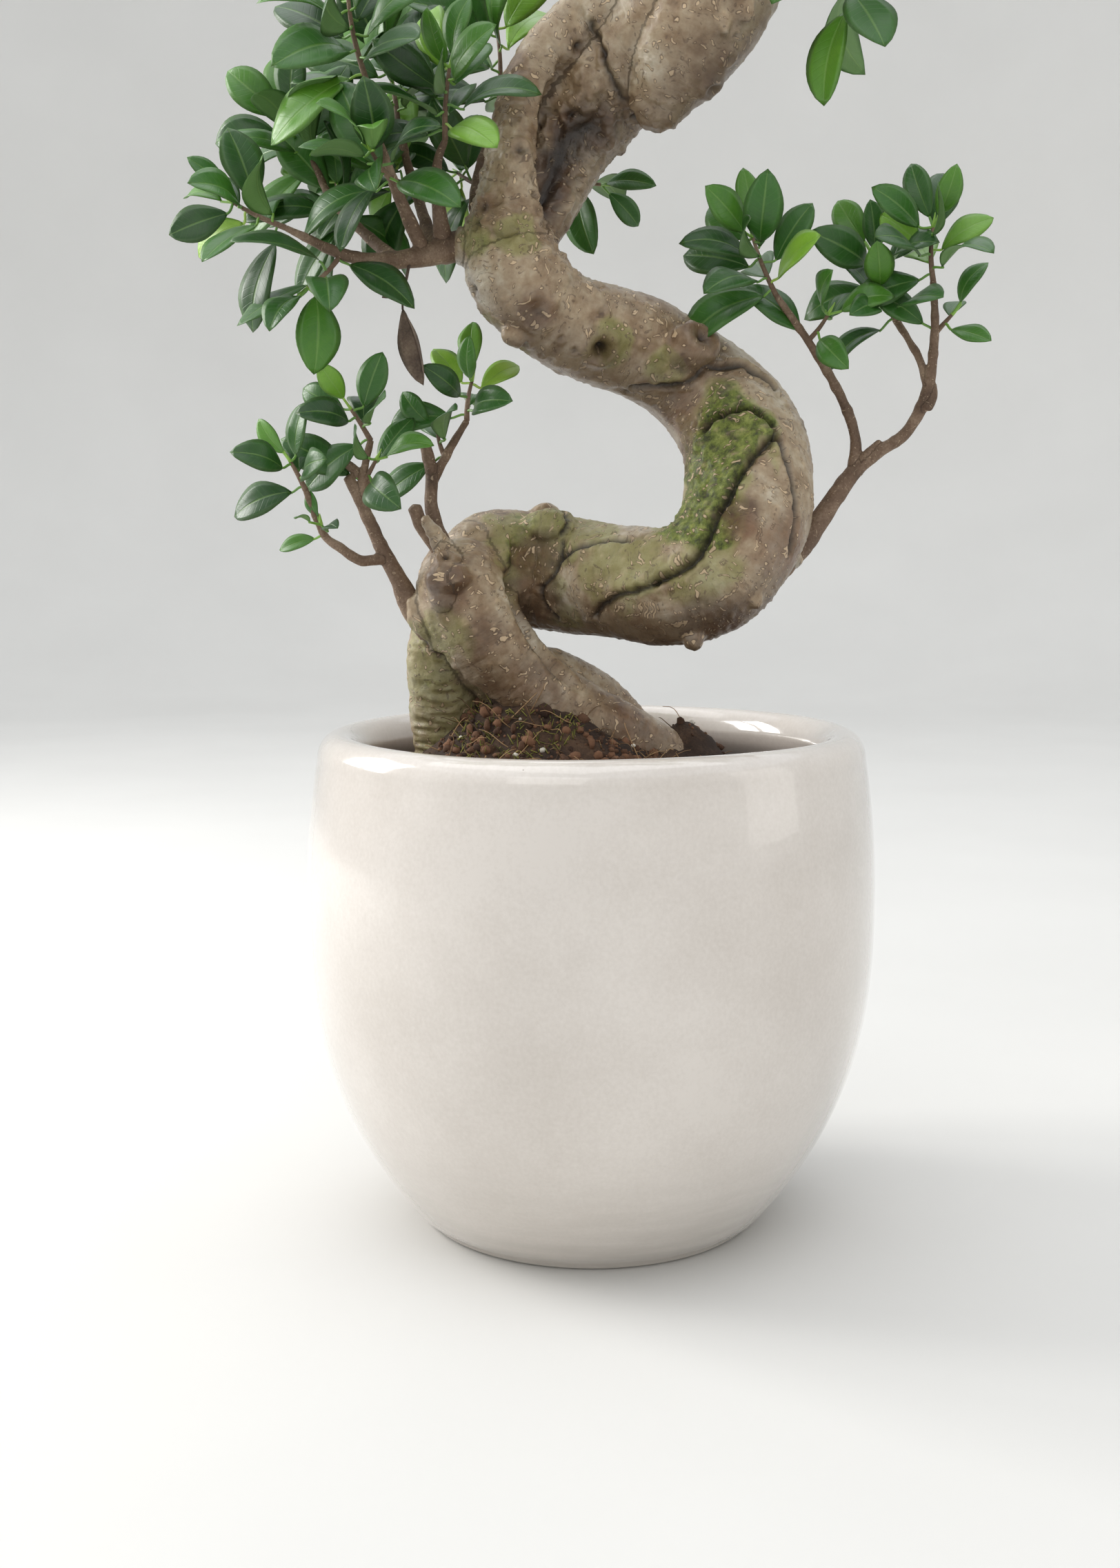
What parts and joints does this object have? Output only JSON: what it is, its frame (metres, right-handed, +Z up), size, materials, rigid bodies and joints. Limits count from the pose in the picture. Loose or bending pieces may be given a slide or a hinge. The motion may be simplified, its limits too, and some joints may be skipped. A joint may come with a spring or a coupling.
{
  "type": "bonsai tree in a pot",
  "caption": "Potted ficus bonsai with a thick S-shaped trunk, leafy side branches and crown, soil, and a round glazed pot with a rolled lip.",
  "frame": {"origin": "centre of the pot's foot, on the surface that the pot stands on", "axes": "+Z up along the pot's axis, the tree's front towards -Y, +X to the right of the front"},
  "size_m": [0.389, 0.3, 0.8977],
  "materials": {
    "pot_glaze": "glossy off-white glaze",
    "soil": "dark crumbly potting soil with fibres, moss and grit",
    "trunk_bark": "smooth grey-brown bark with pale lenticels, dark creases and green algae",
    "branch_bark": "dark brown ringed twig bark",
    "leaf": "glossy waxy green with a paler midrib",
    "dead_leaf": "dry matte grey-brown"
  },
  "bodies": {
    "root": {"pot": "pot_glaze", "soil": "soil", "trunk": "trunk_bark", "back_left_branch": "branch_bark", "crown_back_branch": "branch_bark", "crown_front_branch": "branch_bark", "crown_left_branch": "branch_bark", "crown_right_branch": "branch_bark", "crown_top_branch": "branch_bark", "left_branch": "branch_bark", "low_left_branch": "branch_bark", "low_middle_branch": "branch_bark", "right_branch": "branch_bark", "upper_back_branch": "branch_bark", "upper_front_branch": "branch_bark", "upper_right_branch": "branch_bark", "dead_leaf": "dead_leaf", "back_inner_leaves": "leaf", "back_left_low_leaves": "leaf", "back_left_top_leaves": "leaf", "crown_back_leaves": "leaf", "crown_front_leaves": "leaf", "crown_left_inner_leaves": "leaf", "crown_left_leaves": "leaf", "crown_right_inner_leaves": "leaf", "crown_right_leaves": "leaf", "crown_top_leaves": "leaf", "left_drooping_leaves": "leaf", "left_far_leaves": "leaf", "left_front_leaves": "leaf", "left_heart_leaves": "leaf", "left_inner_leaves": "leaf", "left_outer_leaves": "leaf", "left_rear_leaves": "leaf", "left_tall_leaves": "leaf", "left_top_leaves": "leaf", "low_left_inner_leaves": "leaf", "low_left_outer_leaves": "leaf", "low_left_top_leaves": "leaf", "low_left_young_leaves": "leaf", "low_middle_side_leaves": "leaf", "low_middle_top_leaves": "leaf", "right_edge_leaves": "leaf", "right_inner_leaves": "leaf", "right_low_leaves": "leaf", "right_middle_leaves": "leaf", "right_outer_leaves": "leaf", "right_side_leaves": "leaf", "upper_back_leaves": "leaf", "upper_front_leaves": "leaf", "upper_right_inner_leaves": "leaf", "upper_right_leaves": "leaf", "upper_right_low_leaves": "leaf"}
  },
  "joints": []
}
